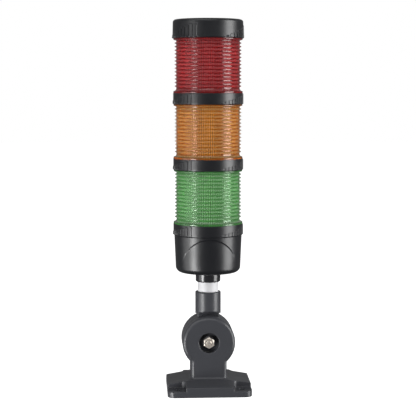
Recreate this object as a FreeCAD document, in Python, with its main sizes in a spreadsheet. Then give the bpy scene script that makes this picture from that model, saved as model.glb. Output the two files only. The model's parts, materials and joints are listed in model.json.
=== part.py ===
import FreeCAD, Part

import math
import os
import re

import Sketcher

# Three-tier signal tower on a folding foot, in millimetres.
# Origin: centre of the foot's underside, on the pole's axis. +Z up, front towards -Y.
# Construction, from the floor up: a moulded foot with two cheeks, an arm that folds between them
# on one through bolt, an aluminium pole, a wiring housing, three light tiers and a cap.
# Each tier and the cap twist onto three lugs on the collar of the piece below.

doc = FreeCAD.newDocument("signal_tower")
sheet = doc.addObject("Spreadsheet::Sheet", "Sizes")

SIZES = {
    # Foot: square plate with four screw corners
    "plate_width": 84.5,
    "plate_depth": 84.0,
    "plate_height": 10.0,
    "plate_corner": 8.0,
    "plate_edge": 0.7,
    "corner_floor": 6.0,
    "corner_round": 5.0,
    "spine_width": 48.0,
    "wing_depth": 45.2,
    "hump_rise": 3.6,
    "foot_margin": 3.2,
    "foot_round": 2.8,
    "bolt_spacing": 64.0,
    "bolt_hole": 5.8,
    "core_width": 24.0,
    "core_depth": 26.0,
    "core_height": 17.0,
    # Foot: stem and cheeks
    "stem_width": 36.0,
    "stem_corner": 3.5,
    "knuckle_depth": 40.0,
    "pivot_height": 50.7,
    "cheek_radius": 26.7,
    "cheek_round": 4.0,
    "slot_clearance": 0.8,
    "counterbore_radius": 10.2,
    "counterbore_depth": 6.5,
    # Pivot fasteners
    "pivot_size": 6.0,
    "running_gap": 0.05,
    "hex_flats": 10.0,
    "nut_height": 5.0,
    "head_height": 4.0,
    "thread_end": 0.3,
    "washer_radius": 6.25,
    "washer_thickness": 1.2,
    "friction_radius": 16.0,
    "friction_thickness": 0.8,
    # Arm
    "tongue_thickness": 14.0,
    "sleeve_radius": 13.0,
    "sleeve_reach": 50.3,
    "sleeve_lift": 4.0,
    "sleeve_round": 1.0,
    "socket_depth": 19.0,
    "cable_hole": 7.0,
    "cable_rise": 6.5,
    "grub_size": 4.0,
    "grub_length": 2.6,
    "grub_drop": 5.5,
    # Pole and its socket
    "pole_radius": 10.5,
    "pole_wall": 1.6,
    "pole_show": 10.0,
    "pole_engagement": 22.0,
    "neck_radius": 12.6,
    "neck_height": 10.1,
    "neck_round": 1.5,
    "flange_radius": 22.0,
    "flange_thickness": 3.0,
    "socket_lip": 2.0,
    "flange_screw": 3.0,
    "flange_screw_head": 5.5,
    "flange_screw_bite": 2.4,
    "flange_screw_circle": 35.0,
    # Wiring housing
    "housing_height": 38.0,
    "housing_top_radius": 34.2,
    "housing_bottom_radius": 32.6,
    "housing_round": 6.0,
    "housing_wall": 2.8,
    "floor_thickness": 3.0,
    "arch_radius": 27.0,
    "arch_rise": 9.3,
    "facet_radius": 33.5,
    "facet_shift": 0.5,
    "terminal_width": 32.0,
    "terminal_depth": 14.0,
    "terminal_height": 12.0,
    "terminal_screw": 3.2,
    "terminal_pitch": 5.0,
    # Twist joint shared by the housing, the tiers and the cap
    "collar_radius": 31.0,
    "collar_wall": 2.0,
    "collar_height": 5.0,
    "ledge_width": 1.4,
    "ledge_depth": 1.5,
    "ledge_lift": 1.1,
    "deck_thickness": 2.0,
    "deck_hole": 8.0,
    "lug_reach": 1.6,
    "lug_height": 2.0,
    "lug_angle": 22.0,
    "stop_angle": 3.0,
    "hook_foot": 0.4,
    "hook_height": 1.8,
    "hook_angle": 24.0,
    "hook_gap": 0.3,
    "seal_thickness": 1.0,
    "seal_width": 1.7,
    "seal_inset": 0.15,
    "contact_size": 1.8,
    "contact_circle": 28.0,
    # Lock rings
    "tier_pitch": 65.8,
    "ring_radius": 35.1,
    "ring_bore": 33.2,
    "ring_height": 11.6,
    "ring_chamfer": 0.9,
    "web_thickness": 2.0,
    "grip_relief": 0.55,
    "grip_width": 2.8,
    "grip_root": 0.8,
    "grip_foot": 0.9,
    "grip_pitch": 7.4,
    "grip_start": 20.0,
    "grip_first": 1.6,
    "grip_step": 0.95,
    # Lenses
    "lip_radius": 34.9,
    "lip_height": 1.7,
    "flare_height": 2.5,
    "flare_radius": 33.2,
    "crest_radius": 33.6,
    "root_radius": 31.9,
    "crest_pitch": 3.58,
    "first_crest": 6.9,
    "lens_bore": 29.4,
    "top_flange_radius": 34.6,
    "top_flange_height": 1.1,
    "spigot_gap": 0.1,
    # Light source
    "diffuser_radius": 25.0,
    "diffuser_wall": 1.6,
    "post_width": 12.0,
    "post_bore": 7.0,
    "board_width": 11.4,
    "board_thickness": 1.2,
    "board_length": 50.0,
    "board_lift": 2.0,
    "chip_size": 5.0,
    "chip_height": 1.5,
    "chip_pitch": 14.0,
    # Cap
    "cap_height": 19.0,
    "cap_bottom_radius": 35.7,
    "cap_top_radius": 35.35,
    "cap_round": 3.0,
    "cap_roof": 2.5,
    "cap_hollow": 28.0,
    "cap_grip_start": 30.0,
    "cap_grip_step": 1.38,
}

# Counts
SCREW_COUNT = 3
CLAW_COUNT = 3
FIELD_COUNT = 3
GRIP_COUNT = 10
CREST_COUNT = 13
CHIP_ROWS = 3
CONTACT_COUNT = 5
TERMINAL_COUNT = 6

for row, (alias, amount) in enumerate(SIZES.items(), start=1):
    sheet.set("A%d" % row, alias)
    sheet.set("B%d" % row, str(amount))
    sheet.setAlias("B%d" % row, alias)
doc.recompute()

X_AXIS = FreeCAD.Vector(1, 0, 0)
Y_AXIS = FreeCAD.Vector(0, 1, 0)
Z_AXIS = FreeCAD.Vector(0, 0, 1)

# Heights worked out from the sheet
SLEEVE_TOP = "(pivot_height + sleeve_reach)"
SOCKET_FLOOR = "(%s - socket_depth)" % SLEEVE_TOP
NECK_BOTTOM = "(%s + pole_show)" % SLEEVE_TOP
HOUSING_BOTTOM = "(%s + neck_height)" % NECK_BOTTOM
HOUSING_TOP = "(%s + housing_height)" % HOUSING_BOTTOM

# Heights on the twist joint, from the underside of the ring or cap
WEB_BOTTOM = "(collar_height + seal_thickness)"
WEB_TOP = "(%s + web_thickness)" % WEB_BOTTOM
DECK_TOP = "(ledge_lift + deck_thickness)"
LUG_FOOT = "(hook_foot + hook_height + hook_gap)"

node_parts = []


def cells(text):
    """Formula with each size's name pointed at its cell in the sheet."""
    return re.sub(r"[a-z_]+", lambda word: "Sizes." + word[0] if word[0] in SIZES else word[0], text)


def number(text):
    """Present value of a formula."""
    return float(sheet.evalExpression(cells(text)))


def bind(item, **formulas):
    """Tie an object's sizes to formulas."""
    for name, text in formulas.items():
        item.setExpression(name, cells(text))


def place(item, x="0", y="0", z="0", axis=Z_AXIS, turn="0"):
    """Tie an object's placement to formulas: a shift, and a turn in degrees about an axis."""
    item.Placement = FreeCAD.Placement(FreeCAD.Vector(), FreeCAD.Rotation(axis, 1))
    item.setExpression(".Placement.Base.x", cells(x))
    item.setExpression(".Placement.Base.y", cells(y))
    item.setExpression(".Placement.Base.z", cells(z))
    item.setExpression(".Placement.Rotation.Angle", cells("(%s) * 1 deg" % turn))


def keep(item, label):
    """Name a finished sub-part and list it for export."""
    item.Label = label
    node_parts.append(item)


# Body, sketches and features

def new_body(name):
    return doc.addObject("PartDesign::Body", name)


def origin_item(body, role):
    return next(item for item in body.Origin.OriginFeatures if item.Role == role)


def new_sketch(body, name, role, across="0", up="0", out="0", axis=Z_AXIS, turn="0"):
    """Sketch on one of the body's origin planes, shifted and turned in the plane's own axes."""
    sketch = body.newObject("Sketcher::SketchObject", name)
    sketch.AttachmentSupport = (origin_item(body, role), [""])
    sketch.MapMode = "FlatFace"
    sketch.AttachmentOffset = FreeCAD.Placement(FreeCAD.Vector(), FreeCAD.Rotation(axis, 1))
    sketch.setExpression(".AttachmentOffset.Base.x", cells(across))
    sketch.setExpression(".AttachmentOffset.Base.y", cells(up))
    sketch.setExpression(".AttachmentOffset.Base.z", cells(out))
    sketch.setExpression(".AttachmentOffset.Rotation.Angle", cells("(%s) * 1 deg" % turn))
    return sketch


def limit(sketch, kind, elements, text):
    """Dimension whose value follows a formula."""
    index = sketch.addConstraint(Sketcher.Constraint(kind, *elements, number(text)))
    sketch.setExpression("Constraints[%d]" % index, cells(text))


def outline(sketch, corners):
    """Closed straight-sided outline, each corner dimensioned from the sketch's origin."""
    points = [FreeCAD.Vector(number(across), number(up), 0) for across, up in corners]
    first = sketch.GeometryCount
    for start, end in zip(points, points[1:] + points[:1]):
        sketch.addGeometry(Part.LineSegment(start, end), False)
    for step, (across, up) in enumerate(corners):
        line = first + step
        after = first + (step + 1) % len(corners)
        sketch.addConstraint(Sketcher.Constraint("Coincident", line, 2, after, 1))
        limit(sketch, "DistanceX", (-1, 1, line, 1), across)
        limit(sketch, "DistanceY", (-1, 1, line, 1), up)


def rectangle(sketch, left, low, right, high):
    outline(sketch, [(left, low), (right, low), (right, high), (left, high)])


def rounded_rectangle(sketch, half_wide, half_deep, radius):
    """Rectangle centred on the sketch's origin, its corners rounded by tangent arcs."""
    wide, deep, round_off = number(half_wide), number(half_deep), number(radius)
    first = sketch.GeometryCount
    for step, (side, end) in enumerate(((1, -1), (1, 1), (-1, 1), (-1, -1))):
        centre = FreeCAD.Vector(side * (wide - round_off), end * (deep - round_off), 0)
        begin = math.radians(90 * (step - 1))
        arc = Part.ArcOfCircle(Part.Circle(centre, Z_AXIS, round_off), begin, begin + math.radians(90))
        sketch.addGeometry(arc, False)
    for step in range(4):
        start = sketch.Geometry[first + step].EndPoint
        end = sketch.Geometry[first + (step + 1) % 4].StartPoint
        sketch.addGeometry(Part.LineSegment(start, end), False)
    for step, (side, end) in enumerate((("", "-"), ("", ""), ("-", ""), ("-", "-"))):
        arc, line, after = first + step, first + 4 + step, first + (step + 1) % 4
        sketch.addConstraint(Sketcher.Constraint("Tangent", arc, 2, line, 1))
        sketch.addConstraint(Sketcher.Constraint("Tangent", line, 2, after, 1))
        limit(sketch, "DistanceX", (-1, 1, arc, 3), "%s(%s - %s)" % (side, half_wide, radius))
        limit(sketch, "DistanceY", (-1, 1, arc, 3), "%s(%s - %s)" % (end, half_deep, radius))
        limit(sketch, "Radius", (arc,), radius)


def circle(sketch, across, up, radius):
    centre = FreeCAD.Vector(number(across), number(up), 0)
    ring = sketch.addGeometry(Part.Circle(centre, Z_AXIS, number(radius)), False)
    limit(sketch, "DistanceX", (-1, 1, ring, 3), across)
    limit(sketch, "DistanceY", (-1, 1, ring, 3), up)
    limit(sketch, "Radius", (ring,), radius)


def feature(body, kind, name, sketch):
    """Feature made from a sketch, set as the body's result."""
    item = body.newObject("PartDesign::" + kind, name)
    item.Profile = sketch
    sketch.Visibility = False
    body.Tip = item
    return item


def pad(body, name, sketch, length, both=False):
    item = feature(body, "Pad", name, sketch)
    item.SideType = "Symmetric" if both else "One side"
    bind(item, Length=length)
    return item


def pocket(body, name, sketch, length, both=False, flip=False):
    """Cut that has to take something away: a pocket that misses the body is an error."""
    doc.recompute()
    before = body.Tip.Shape.Volume
    item = feature(body, "Pocket", name, sketch)
    item.SideType = "Symmetric" if both else "One side"
    item.Reversed = flip
    bind(item, Length=length)
    doc.recompute()
    if item.Shape.Volume >= before:
        raise RuntimeError("%s in %s cuts nothing" % (name, body.Name))
    return item


def revolve(body, name, sketch, axis="V_Axis", sweep="360", cut=False):
    item = feature(body, "Groove" if cut else "Revolution", name, sketch)
    item.ReferenceAxis = (sketch, [axis])
    bind(item, Angle=sweep)
    return item


def around(body, name, originals, count):
    """Even copies of features about the body's Z axis."""
    item = body.newObject("PartDesign::PolarPattern", name)
    item.Originals = originals
    item.Axis = (origin_item(body, "Z_Axis"), [""])
    item.Angle = 360
    item.Occurrences = count
    body.Tip = item
    return item


def fillet(body, name, radius, chosen):
    """Rounds on the edges of the present result that pass a test."""
    doc.recompute()
    base = body.Tip
    names = ["Edge%d" % place for place, edge in enumerate(base.Shape.Edges, start=1) if chosen(edge)]
    if not names:
        raise RuntimeError("%s in %s finds no edge" % (name, body.Name))
    item = body.newObject("PartDesign::Fillet", name)
    item.Base = (base, names)
    bind(item, Radius=radius)
    body.Tip = item
    return item


def near(value, text):
    return abs(value - number(text)) < 1e-3


def is_line(edge):
    return isinstance(edge.Curve, Part.Line)


def is_upright(edge):
    return is_line(edge) and abs(edge.tangentAt(edge.FirstParameter).z) > 0.999


def spans(edge):
    """Lowest and highest corner of an edge."""
    box = edge.BoundBox
    return (box.XMin, box.YMin, box.ZMin), (box.XMax, box.YMax, box.ZMax)


def at_level(edge, text):
    low, high = spans(edge)
    return near(low[2], text) and near(high[2], text)


# Part primitives

def part(kind, name, **formulas):
    item = doc.addObject("Part::" + kind, name)
    bind(item, **formulas)
    return item


def part_cut(name, base, tool):
    item = doc.addObject("Part::Cut", name)
    item.Base = base
    item.Tool = tool
    return item


def group(name, members):
    """Several loose solids as one sub-part."""
    item = doc.addObject("Part::Compound", name)
    item.Links = members
    return item


def washer(name, bore, radius, thickness):
    """Flat ring standing on its own origin, axis +Z."""
    disc = part("Cylinder", name + "_disc", Radius=radius, Height=thickness)
    hole = part("Cylinder", name + "_hole", Radius=bore, Height=thickness)
    return part_cut(name, disc, hole)


# Foot

def base_bracket():
    """Foot moulding: plate with four lowered screw corners, hipped top, stem and two round cheeks."""
    body = new_body("base_bracket")
    half_wide, half_deep = "plate_width / 2", "plate_depth / 2"

    disc = new_sketch(body, "cheek_outline", "XZ_Plane")
    circle(disc, "0", "pivot_height", "cheek_radius")
    pad(body, "cheeks", disc, "knuckle_depth", both=True)
    fillet(body, "cheek_rims", "cheek_round", lambda edge: isinstance(edge.Curve, Part.Circle))
    stem = new_sketch(body, "stem_outline", "XY_Plane", out="corner_floor")
    rounded_rectangle(stem, "stem_width / 2", "knuckle_depth / 2", "stem_corner")
    pad(body, "stem", stem, "pivot_height - corner_floor")
    plate = new_sketch(body, "plate_outline", "XY_Plane")
    rounded_rectangle(plate, half_wide, half_deep, "plate_corner")
    pad(body, "plate", plate, "plate_height")

    rim = new_sketch(body, "hump_rim", "XY_Plane", out="plate_height")
    rectangle(rim, "-" + half_wide, "-" + half_deep, half_wide, half_deep)
    crown_wide = "(stem_width / 2 + foot_margin)"
    crown_deep = "(knuckle_depth / 2 + foot_margin)"
    crown = new_sketch(body, "hump_crown", "XY_Plane", out="plate_height + hump_rise")
    rectangle(crown, "-" + crown_wide, "-" + crown_deep, crown_wide, crown_deep)
    hump = feature(body, "AdditiveLoft", "hump", rim)
    hump.Sections = [crown]
    hump.Ruled = True
    crown.Visibility = False

    corners = new_sketch(body, "corner_outlines", "XY_Plane", out="corner_floor")
    for side in ("-", ""):
        for end in ("-", ""):
            inner = (side + "spine_width / 2", end + "wing_depth / 2")
            outer = (side + "plate_width", end + "plate_depth")
            rectangle(corners, inner[0], inner[1], outer[0], outer[1])
    pocket(body, "screw_corners", corners, "plate_height", flip=True)

    def inner_corner(edge):
        low, _ = spans(edge)
        return (is_upright(edge) and near(abs(low[0]), "spine_width / 2")
                and near(abs(low[1]), "wing_depth / 2"))

    fillet(body, "screw_corner_rounds", "corner_round", inner_corner)

    def stem_foot(edge):
        low, high = spans(edge)
        return (at_level(edge, "plate_height + hump_rise")
                and max(abs(low[0]), abs(high[0])) < number("stem_width / 2") + 1e-3
                and max(abs(low[1]), abs(high[1])) < number("knuckle_depth / 2") + 1e-3)

    fillet(body, "stem_foot", "foot_round", stem_foot)

    slot = new_sketch(body, "slot_outline", "XZ_Plane")
    circle(slot, "0", "pivot_height", "cheek_radius + slot_clearance")
    pocket(body, "slot", slot, "tongue_thickness + 2 * friction_thickness", both=True)

    bore = new_sketch(body, "pivot_bore_profile", "YZ_Plane", up="pivot_height")
    beyond = "(knuckle_depth / 2 + plate_edge)"
    seat = "(knuckle_depth / 2 - counterbore_depth)"
    shaft = "(pivot_size / 2 + running_gap)"
    outline(bore, [("-" + beyond, "0"), ("-" + beyond, "counterbore_radius"),
                   ("-" + seat, "counterbore_radius"), ("-" + seat, shaft), (seat, shaft),
                   (seat, "counterbore_radius"), (beyond, "counterbore_radius"), (beyond, "0")])
    revolve(body, "pivot_bore", bore, axis="H_Axis", cut=True)

    holes = new_sketch(body, "bolt_hole_outlines", "XY_Plane")
    for side in ("-", ""):
        for end in ("-", ""):
            circle(holes, side + "bolt_spacing / 2", end + "bolt_spacing / 2", "bolt_hole / 2")
    pocket(body, "bolt_holes", holes, "plate_height", flip=True)

    core = new_sketch(body, "core_outline", "XY_Plane")
    rectangle(core, "-core_width / 2", "-core_depth / 2", "core_width / 2", "core_depth / 2")
    pocket(body, "underside_core", core, "core_height", flip=True)

    def spine_end(edge):
        low, high = spans(edge)
        return (is_line(edge) and at_level(edge, "plate_height")
                and (near(abs(low[1]), half_deep) and near(abs(high[1]), half_deep)
                     or near(abs(low[0]), half_wide) and near(abs(high[0]), half_wide)))

    fillet(body, "plate_edges", "plate_edge", spine_end)
    keep(body, "base_bracket")


def swivel_arm():
    """Arm moulding: a round tongue between the cheeks under a sleeve that clamps the pole."""
    body = new_body("swivel_arm")
    clear_radius = "(cheek_radius + sleeve_lift)"

    sleeve = new_sketch(body, "sleeve_outline", "XY_Plane", out="pivot_height")
    circle(sleeve, "0", "0", "sleeve_radius")
    pad(body, "sleeve", sleeve, "sleeve_reach")
    under = new_sketch(body, "sleeve_underside", "XZ_Plane")
    circle(under, "0", "pivot_height", clear_radius)
    pocket(body, "cheek_clearance", under, "4 * sleeve_radius", both=True)

    disc = new_sketch(body, "tongue_outline", "XZ_Plane")
    circle(disc, "0", "pivot_height", "cheek_radius")
    pad(body, "tongue", disc, "tongue_thickness", both=True)
    web = new_sketch(body, "tongue_neck_outline", "XZ_Plane")
    half_neck = "sqrt(sleeve_radius ^ 2 - (tongue_thickness / 2) ^ 2)"
    rectangle(web, "-" + half_neck, "pivot_height", half_neck, "pivot_height + %s + pole_wall" % clear_radius)
    pad(body, "tongue_neck", web, "tongue_thickness", both=True)

    socket = new_sketch(body, "socket_outline", "XY_Plane", out=SLEEVE_TOP)
    circle(socket, "0", "0", "pole_radius + running_gap")
    pocket(body, "pole_bore", socket, "socket_depth")
    bolt = new_sketch(body, "pivot_outline", "XZ_Plane")
    circle(bolt, "0", "pivot_height", "pivot_size / 2 + running_gap")
    pocket(body, "pivot_hole", bolt, "2 * tongue_thickness", both=True)

    cable = new_sketch(body, "cable_outline", "XZ_Plane")
    circle(cable, "0", "%s + cable_rise" % SOCKET_FLOOR, "cable_hole / 2")
    pocket(body, "cable_outlet", cable, "2 * sleeve_radius")
    grub = new_sketch(body, "grub_outline", "XZ_Plane")
    circle(grub, "0", "%s - grub_drop" % SLEEVE_TOP, "grub_size / 2")
    pocket(body, "grub_thread", grub, "2 * sleeve_radius")

    def sleeve_rim(edge):
        return at_level(edge, SLEEVE_TOP) and near(edge.BoundBox.XMax, "sleeve_radius")

    fillet(body, "sleeve_rim", "sleeve_round", sleeve_rim)
    keep(body, "swivel_arm")


def pivot_fasteners():
    """Through bolt with its head at the back, nut at the front, and a washer under each."""
    seat = "(knuckle_depth / 2 - counterbore_depth)"
    under_head = "(%s + washer_thickness)" % seat
    corner_radius = "hex_flats / sqrt(3)"
    shank_length = "2 * %s + nut_height + thread_end" % under_head

    head = part("Prism", "bolt_head", Circumradius=corner_radius, Height="head_height")
    shank = part("Cylinder", "bolt_shank", Radius="pivot_size / 2", Height=shank_length)
    place(head, z="-head_height", turn="30")
    bolt = doc.addObject("Part::Fuse", "pivot_bolt")
    bolt.Base = head
    bolt.Tool = shank
    place(bolt, y=under_head, z="pivot_height", axis=X_AXIS, turn="90")
    keep(bolt, "pivot_bolt")

    block = part("Prism", "nut_block", Circumradius=corner_radius, Height="nut_height")
    place(block, turn="30")
    thread = part("Cylinder", "nut_thread", Radius="pivot_size / 2 + running_gap", Height="nut_height")
    nut = part_cut("pivot_nut", block, thread)
    place(nut, y="-" + under_head, z="pivot_height", axis=X_AXIS, turn="90")
    keep(nut, "pivot_nut")

    front = washer("front_washer", "pivot_size / 2 + 4 * running_gap", "washer_radius", "washer_thickness")
    place(front, y="-" + seat, z="pivot_height", axis=X_AXIS, turn="90")
    back = washer("back_washer", "pivot_size / 2 + 4 * running_gap", "washer_radius", "washer_thickness")
    place(back, y=under_head, z="pivot_height", axis=X_AXIS, turn="90")
    keep(group("pivot_washers", [front, back]), "pivot_washers")

    liners = []
    for name, y in (("front_liner", "-tongue_thickness / 2"),
                    ("back_liner", "tongue_thickness / 2 + friction_thickness")):
        liner = washer(name, "pivot_size / 2 + friction_thickness", "friction_radius", "friction_thickness")
        place(liner, y=y, z="pivot_height", axis=X_AXIS, turn="90")
        liners.append(liner)
    keep(group("friction_washers", liners), "friction_washers")


# Pole and its socket

def pole():
    """Aluminium tube from the sleeve's floor up into the housing, holed for the wires at the back."""
    body = new_body("pole")
    top = "(%s + pole_engagement)" % NECK_BOTTOM
    wall = new_sketch(body, "wall_profile", "XZ_Plane")
    rectangle(wall, "pole_radius - pole_wall", SOCKET_FLOOR, "pole_radius", top)
    revolve(body, "tube", wall)
    cable = new_sketch(body, "cable_outline", "XZ_Plane")
    circle(cable, "0", "%s + cable_rise" % SOCKET_FLOOR, "cable_hole / 2")
    pocket(body, "cable_outlet", cable, "2 * pole_radius")
    keep(body, "pole")


def pole_screws():
    """Two grub screws at the back that pin the pole in the sleeve and in the neck."""
    members = []
    for name, z in (("sleeve_grub", "%s - grub_drop" % SLEEVE_TOP),
                    ("neck_grub", "%s + neck_height / 2" % NECK_BOTTOM)):
        grub = part("Cylinder", name, Radius="grub_size / 2", Height="grub_length")
        place(grub, y="pole_radius + grub_length", z=z, axis=X_AXIS, turn="90")
        members.append(grub)
    keep(group("set_screws", members), "set_screws")


def pole_socket():
    """Turned neck below the housing, with a flange that is screwed to the housing's floor."""
    body = new_body("pole_socket")
    flange_low = "(neck_height + floor_thickness)"
    flange_high = "(%s + flange_thickness)" % flange_low
    profile = new_sketch(body, "neck_profile", "XZ_Plane")
    bore, lip = "pole_radius + running_gap", "(pole_radius - pole_wall)"
    top = "(pole_engagement + socket_lip)"
    outline(profile, [(bore, "0"), ("neck_radius", "0"), ("neck_radius", flange_low),
                      ("flange_radius", flange_low), ("flange_radius", flange_high),
                      ("neck_radius", flange_high), ("neck_radius", top), (lip, top),
                      (lip, "pole_engagement"), (bore, "pole_engagement")])
    revolve(body, "neck", profile)

    def neck_rim(edge):
        return at_level(edge, "0") and near(edge.BoundBox.XMax, "neck_radius")

    fillet(body, "neck_rim", "neck_round", neck_rim)
    grub = new_sketch(body, "grub_outline", "XZ_Plane")
    circle(grub, "0", "neck_height / 2", "grub_size / 2")
    pocket(body, "grub_thread", grub, "2 * neck_radius")
    hole = new_sketch(body, "flange_hole_outline", "XY_Plane", out=flange_high)
    circle(hole, "flange_screw_circle / 2", "0", "flange_screw / 2 + running_gap")
    cut = pocket(body, "flange_hole", hole, "flange_thickness")
    around(body, "flange_holes", [cut], SCREW_COUNT)
    place(body, z=NECK_BOTTOM)
    keep(body, "pole_socket")


def socket_screws():
    """Pan-head screws that hold the neck's flange down."""
    length = "flange_thickness + flange_screw_bite"
    members = []
    for step in range(SCREW_COUNT):
        head = part("Cylinder", "flange_screw_head_%d" % step,
                    Radius="flange_screw_head / 2", Height="flange_screw_bite")
        shank = part("Cylinder", "flange_screw_shank_%d" % step, Radius="flange_screw / 2", Height=length)
        place(shank, z="-(%s)" % length)
        screw = doc.addObject("Part::Fuse", "flange_screw_%d" % step)
        screw.Base = head
        screw.Tool = shank
        angle = "%d * 360 deg / %d" % (step, SCREW_COUNT)
        place(screw, x="flange_screw_circle / 2 * cos(%s)" % angle,
              y="flange_screw_circle / 2 * sin(%s)" % angle)
        members.append(screw)
    screws = group("socket_screws", members)
    place(screws, z="%s + floor_thickness + flange_thickness" % HOUSING_BOTTOM)
    keep(screws, "socket_screws")


# Twist joint

def turned(body, name, corners, start, sweep):
    """Part-turn block on a ring or collar, from a start angle through a sweep."""
    sketch = new_sketch(body, name + "_section", "XZ_Plane", axis=Y_AXIS, turn=start)
    outline(sketch, corners)
    return revolve(body, name, sketch, sweep=sweep)


def collar_lugs(body, seat):
    """Three lugs on a collar, each with a stop under its first few degrees. seat is the ring's underside."""
    inner, outer = "(collar_radius - collar_wall / 2)", "(collar_radius + lug_reach)"
    foot = "(%s + %s)" % (seat, LUG_FOOT)
    top = "(%s + lug_height)" % foot
    lug = turned(body, "lug", [(inner, foot), (outer, foot), (outer, top), (inner, top)], "0", "lug_angle")
    low = "(%s - hook_gap)" % seat
    stop = turned(body, "stop", [(inner, low), (outer, low), (outer, foot), (inner, foot)], "0", "stop_angle")
    around(body, "lugs", [lug, stop], CLAW_COUNT)


def collar_corners(seat):
    """Corners of a collar's section, from its outer foot over the top to the ledge that carries a deck."""
    top = "(%s + collar_height)" % seat
    shelf = "(%s + ledge_lift)" % seat
    under = "(%s - ledge_depth)" % shelf
    bore = "(collar_radius - collar_wall)"
    ledge = "(%s - ledge_width)" % bore
    return [("collar_radius", seat), ("collar_radius", top), (bore, top), (bore, shelf),
            (ledge, shelf), (ledge, under)]


def ring_hooks(body):
    """Three hooks inside a ring or cap that pass under the lugs."""
    inner, outer = "(collar_radius + running_gap)", "(ring_bore + grip_root)"
    top = "(hook_foot + hook_height)"
    hook = turned(body, "hook", [(inner, "hook_foot"), (outer, "hook_foot"), (outer, top), (inner, top)],
                  "stop_angle + running_gap", "hook_angle")
    around(body, "hooks", [hook], CLAW_COUNT)


def grip_fields(body, radius, start, step):
    """Three fields of upright grip ribs whose tops climb to the right, rib by rib."""
    ribs = []
    for index in range(GRIP_COUNT):
        turn = "%s + %d * grip_pitch - 90" % (start, index)
        section = new_sketch(body, "grip_outline_%d" % index, "XY_Plane", out="grip_foot", turn=turn)
        rectangle(section, "%s - grip_root" % radius, "-grip_width / 2",
                  "%s + grip_relief" % radius, "grip_width / 2")
        height = "grip_first + %d * %s" % (index, step)
        ribs.append(pad(body, "grip_%d" % index, section, height))
    around(body, "grips", ribs, FIELD_COUNT)


def seal(name, z):
    """Flat rubber ring between a collar and the piece twisted onto it."""
    outer = "(collar_radius - seal_inset)"
    ring = washer(name, "%s - seal_width" % outer, outer, "seal_thickness")
    place(ring, z="%s + collar_height" % z)
    keep(ring, name)


def deck(name, z):
    """Contact deck in the collar: a disc on the ledge with a hole for the wires."""
    plate = washer(name, "deck_hole / 2", "collar_radius - collar_wall - running_gap", "deck_thickness")
    place(plate, z="%s + ledge_lift" % z)
    keep(plate, name)


# Wiring housing

def base_housing():
    """Housing moulding: a drafted cup with an arched flat on its front and the first collar on top."""
    body = new_body("housing_cup")
    inner_bottom = "(housing_bottom_radius - housing_wall)"
    profile = new_sketch(body, "cup_profile", "XZ_Plane")
    outline(profile, [("neck_radius + 2 * running_gap", "0"), ("housing_bottom_radius", "0"),
                      ("housing_top_radius", "housing_height")]
            + collar_corners("housing_height")
            + [(inner_bottom, "housing_height + ledge_lift - ledge_depth - 2 * ledge_width"),
               (inner_bottom, "floor_thickness"), ("neck_radius + 2 * running_gap", "floor_thickness")])
    revolve(body, "cup", profile)

    def cup_rim(edge):
        return at_level(edge, "0") and near(edge.BoundBox.XMax, "housing_bottom_radius")

    fillet(body, "cup_rim", "housing_round", cup_rim)
    collar_lugs(body, "housing_height")
    hole = new_sketch(body, "screw_hole_outline", "XY_Plane", out="floor_thickness")
    circle(hole, "flange_screw_circle / 2", "0", "flange_screw / 2")
    cut = pocket(body, "screw_hole", hole, "flange_screw_bite")
    around(body, "screw_holes", [cut], SCREW_COUNT)

    # Arched flat: what lies inside the arch and outside a slightly smaller upright cylinder
    arch = part("Cylinder", "arch", Radius="arch_radius", Height="2 * housing_top_radius")
    place(arch, z="arch_rise", axis=X_AXIS, turn="90")
    facet = part("Cylinder", "facet", Radius="facet_radius", Height="2 * housing_height")
    place(facet, y="facet_shift", z="-housing_height / 2")
    shell = part_cut("base_housing", body, part_cut("arch_block", arch, facet))
    place(shell, z=HOUSING_BOTTOM)
    keep(shell, "base_housing")


def terminals():
    """Terminal block under the housing's deck, and its clamp screws."""
    deck_low = "(%s + ledge_lift)" % HOUSING_TOP
    block = part("Box", "terminal_block", Length="terminal_width", Width="terminal_depth",
                 Height="terminal_height")
    place(block, x="-terminal_width / 2", y="-terminal_depth / 2", z="%s - terminal_height" % deck_low)
    keep(block, "terminal_block")
    members = []
    for step in range(TERMINAL_COUNT):
        screw = part("Cylinder", "terminal_screw_%d" % step, Radius="terminal_screw / 2",
                     Height="deck_thickness")
        place(screw, x="terminal_pitch * %.1f" % (step - (TERMINAL_COUNT - 1) / 2))
        members.append(screw)
    screws = group("terminal_screws", members)
    place(screws, z="%s - terminal_height - deck_thickness" % deck_low)
    keep(screws, "terminal_screws")


# Light tiers

def lock_ring(name, z):
    """Black ring under a lens: grip ribs outside, hooks and a web inside."""
    body = new_body(name)
    section = new_sketch(body, "ring_profile", "XZ_Plane")
    seat = "(ring_bore - spigot_gap / 2)"
    outline(section, [("0", WEB_BOTTOM), ("ring_bore", WEB_BOTTOM), ("ring_bore", "0"),
                      ("ring_radius - ring_chamfer", "0"), ("ring_radius", "ring_chamfer"),
                      ("ring_radius", "ring_height"), (seat, "ring_height"), (seat, WEB_TOP),
                      ("0", WEB_TOP)])
    revolve(body, "ring", section)
    grip_fields(body, "ring_radius", "grip_start", "grip_step")
    ring_hooks(body)
    place(body, z=z)
    keep(body, name)


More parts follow.
